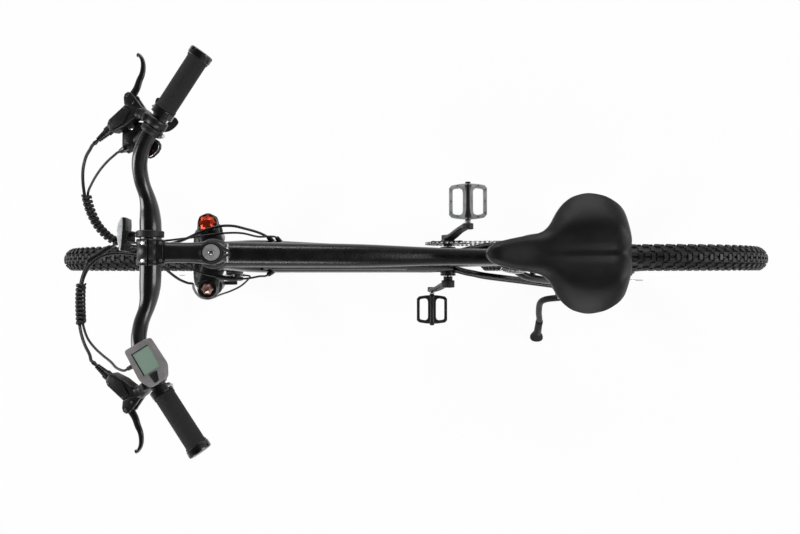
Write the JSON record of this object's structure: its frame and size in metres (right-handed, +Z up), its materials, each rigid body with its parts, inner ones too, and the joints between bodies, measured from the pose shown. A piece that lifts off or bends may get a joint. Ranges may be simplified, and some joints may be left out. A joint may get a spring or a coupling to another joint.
{
  "type": "electric bicycle",
  "caption": "Electric hardtail bicycle with suspension fork, battery in the down tube, rear hub motor, disc brakes, riser bar with display and kickstand.",
  "frame": {"origin": "on the floor, midway between the two axles and in the wheels' middle plane", "axes": "+X forward, +Y to the rider's left, +Z up"},
  "size_m": [1.796, 0.6198, 1.0582],
  "materials": {
    "black_paint": "satin black with fine sparkle",
    "black_alloy": "black anodised, satin",
    "grey_alloy": "bead blasted",
    "steel": "bright",
    "rubber": "matt",
    "tyre": "matt tread",
    "cable": "smooth outer casing",
    "plastic": "moulded",
    "cover": "synthetic, satin",
    "display": "grey housing",
    "reflector": "clear prismatic",
    "red": "red anodised",
    "bronze": "dark anodised",
    "battery": "satin shell"
  },
  "bodies": {
    "frame": {"main_frame": "black_paint", "headset": "black_alloy", "bottom_bracket": "steel", "seat_clamp": "black_alloy", "chain": "steel", "rear_derailleur": "black_alloy", "rear_axle": "steel", "rear_caliper": "black_alloy", "brake_hose_stay": "cable", "shift_cable_stay": "cable"},
    "steering": {"fork_upper": "steel", "stem": "black_alloy", "stem_faceplate": "black_alloy", "top_cap": "grey_alloy", "handlebar": "black_alloy", "grip_right": "rubber", "grip_left": "rubber", "brake_body_right": "black_alloy", "brake_body_left": "black_alloy", "shifter": "plastic", "display": "display", "reflector": "reflector", "brake_hose_front": "cable", "brake_hose_rear": "cable", "shift_cable": "cable", "display_lead": "cable", "wrap_right": "plastic", "wrap_left": "plastic"},
    "lower_legs": {"fork_lowers": "black_paint", "front_caliper": "black_alloy", "front_axle": "steel"},
    "front_wheel": {"front_hub": "black_alloy", "front_rim": "black_alloy", "front_tyre": "tyre", "front_rotor": "steel"},
    "rear_wheel": {"motor_hub": "black_alloy", "rear_rim": "black_alloy", "rear_tyre": "tyre", "rear_rotor": "steel"},
    "freewheel": {"cassette": "steel"},
    "cranks": {"crank_right": "black_alloy", "crank_left": "black_alloy", "chainring": "black_alloy"},
    "right_pedal": {"pedal_right": "grey_alloy"},
    "left_pedal": {"pedal_left": "black_alloy"},
    "guide_pulley": {"pulley_upper": "plastic"},
    "tension_pulley": {"pulley_lower": "plastic"},
    "right_lever": {"brake_lever_right": "black_alloy"},
    "left_lever": {"brake_lever_left": "black_alloy"},
    "thumb_lever": {"shift_lever_down": "plastic"},
    "finger_lever": {"shift_lever_up": "plastic"},
    "display_key": {"display_button": "plastic"},
    "lockout_dial": {"lockout_knob": "red"},
    "preload_dial": {"preload_knob": "bronze"},
    "stand": {"kickstand": "black_alloy"},
    "seat": {"seatpost": "black_alloy", "saddle_base": "plastic", "saddle": "cover"},
    "clamp_lever": {"seat_clamp_lever": "steel"},
    "battery": {"battery_pack": "battery"}
  },
  "joints": [
    {"name": "steering", "type": "hinge", "parent": "frame", "child": "steering", "pos_m": [0.51147, 0, 0.33398], "axis": [-0.342, 0, 0.9397], "range_deg": [-55, 55], "deforming": ["brake_hose_rear", "shift_cable", "display_lead"]},
    {"name": "fork_travel", "type": "slide", "parent": "steering", "child": "lower_legs", "axis": [-0.342, 0, 0.9397], "range_m": [0, 0.08], "stiffness_N_per_m": 7000, "springref_m": -0.02, "deforming": ["brake_hose_front"]},
    {"name": "front_wheel_spin", "type": "hinge", "parent": "lower_legs", "child": "front_wheel", "pos_m": [0.55, 0, 0.348], "axis": [0, 1, 0], "continuous": true},
    {"name": "rear_wheel_spin", "type": "hinge", "parent": "frame", "child": "rear_wheel", "pos_m": [-0.55, 0, 0.348], "axis": [0, 1, 0], "continuous": true},
    {"name": "crank_spin", "type": "hinge", "parent": "frame", "child": "cranks", "pos_m": [-0.1175, 0, 0.2954], "axis": [0, 1, 0], "continuous": true},
    {"name": "pedal_right_spin", "type": "hinge", "parent": "cranks", "child": "right_pedal", "pos_m": [-0.16379, -0.1471, 0.45898], "axis": [0, 1, 0], "continuous": true},
    {"name": "pedal_left_spin", "type": "hinge", "parent": "cranks", "child": "left_pedal", "pos_m": [-0.07121, 0.1471, 0.13182], "axis": [0, 1, 0], "continuous": true},
    {"name": "cassette_spin", "type": "hinge", "parent": "frame", "child": "freewheel", "pos_m": [-0.55, 0, 0.348], "axis": [0, 1, 0], "continuous": true},
    {"name": "pulley_upper_spin", "type": "hinge", "parent": "frame", "child": "guide_pulley", "pos_m": [-0.54, -0.05, 0.258], "axis": [0, 1, 0], "continuous": true},
    {"name": "pulley_lower_spin", "type": "hinge", "parent": "frame", "child": "tension_pulley", "pos_m": [-0.516, -0.05, 0.202], "axis": [0, 1, 0], "continuous": true},
    {"name": "brake_lever_right", "type": "hinge", "parent": "steering", "child": "right_lever", "pos_m": [0.4015, -0.247, 0.996], "axis": [0, 0, -1], "range_deg": [0, 25], "stiffness_Nm_per_rad": 1.2, "springref_deg": -6.88},
    {"name": "brake_lever_left", "type": "hinge", "parent": "steering", "child": "left_lever", "pos_m": [0.4015, 0.247, 0.996], "axis": [0, 0, 1], "range_deg": [0, 25], "stiffness_Nm_per_rad": 1.2, "springref_deg": -6.88},
    {"name": "shift_lever_down", "type": "hinge", "parent": "steering", "child": "thumb_lever", "pos_m": [0.392, -0.188, 0.975], "axis": [0, 0, -1], "range_deg": [0, 30], "stiffness_Nm_per_rad": 0.4, "springref_deg": -11.46},
    {"name": "shift_lever_up", "type": "hinge", "parent": "steering", "child": "finger_lever", "pos_m": [0.392, -0.188, 0.975], "axis": [0, 0, -1], "range_deg": [0, 15], "stiffness_Nm_per_rad": 0.4, "springref_deg": -11.46},
    {"name": "display_button", "type": "slide", "parent": "steering", "child": "display_key", "axis": [0, 0, -1], "range_m": [0, 0.001], "stiffness_N_per_m": 600, "springref_m": -0.0008},
    {"name": "lockout_knob", "type": "hinge", "parent": "steering", "child": "lockout_dial", "pos_m": [0.3574, -0.0635, 0.80818], "axis": [-0.342, 0, 0.9397], "range_deg": [0, 90]},
    {"name": "preload_knob", "type": "hinge", "parent": "steering", "child": "preload_dial", "pos_m": [0.3574, 0.0635, 0.80818], "axis": [-0.342, 0, 0.9397], "range_deg": [0, 330]},
    {"name": "kickstand_fold", "type": "hinge", "parent": "frame", "child": "stand", "pos_m": [-0.428, 0.096, 0.3], "axis": [0.1332, 0.8847, 0.4468], "range_deg": [0, 80]},
    {"name": "seat_height", "type": "slide", "parent": "frame", "child": "seat", "axis": [-0.2924, 0, 0.9563], "range_m": [-0.05, 0.05]},
    {"name": "seat_clamp_lever", "type": "hinge", "parent": "frame", "child": "clamp_lever", "pos_m": [-0.26987, 0.0208, 0.70997], "axis": [-0.2924, 0, 0.9563], "range_deg": [0, 150]},
    {"name": "battery_tilt", "type": "hinge", "parent": "frame", "child": "battery", "pos_m": [0.01009, 0, 0.50952], "axis": [0, -1, 0], "range_deg": [0, 4]}
  ],
  "couplings": [
    {"joint": "cassette_spin", "follows": "crank_spin", "ratio": 1.5},
    {"joint": "pulley_lower_spin", "follows": "crank_spin", "ratio": 2.7273},
    {"joint": "pulley_upper_spin", "follows": "crank_spin", "ratio": -2.7273}
  ]
}
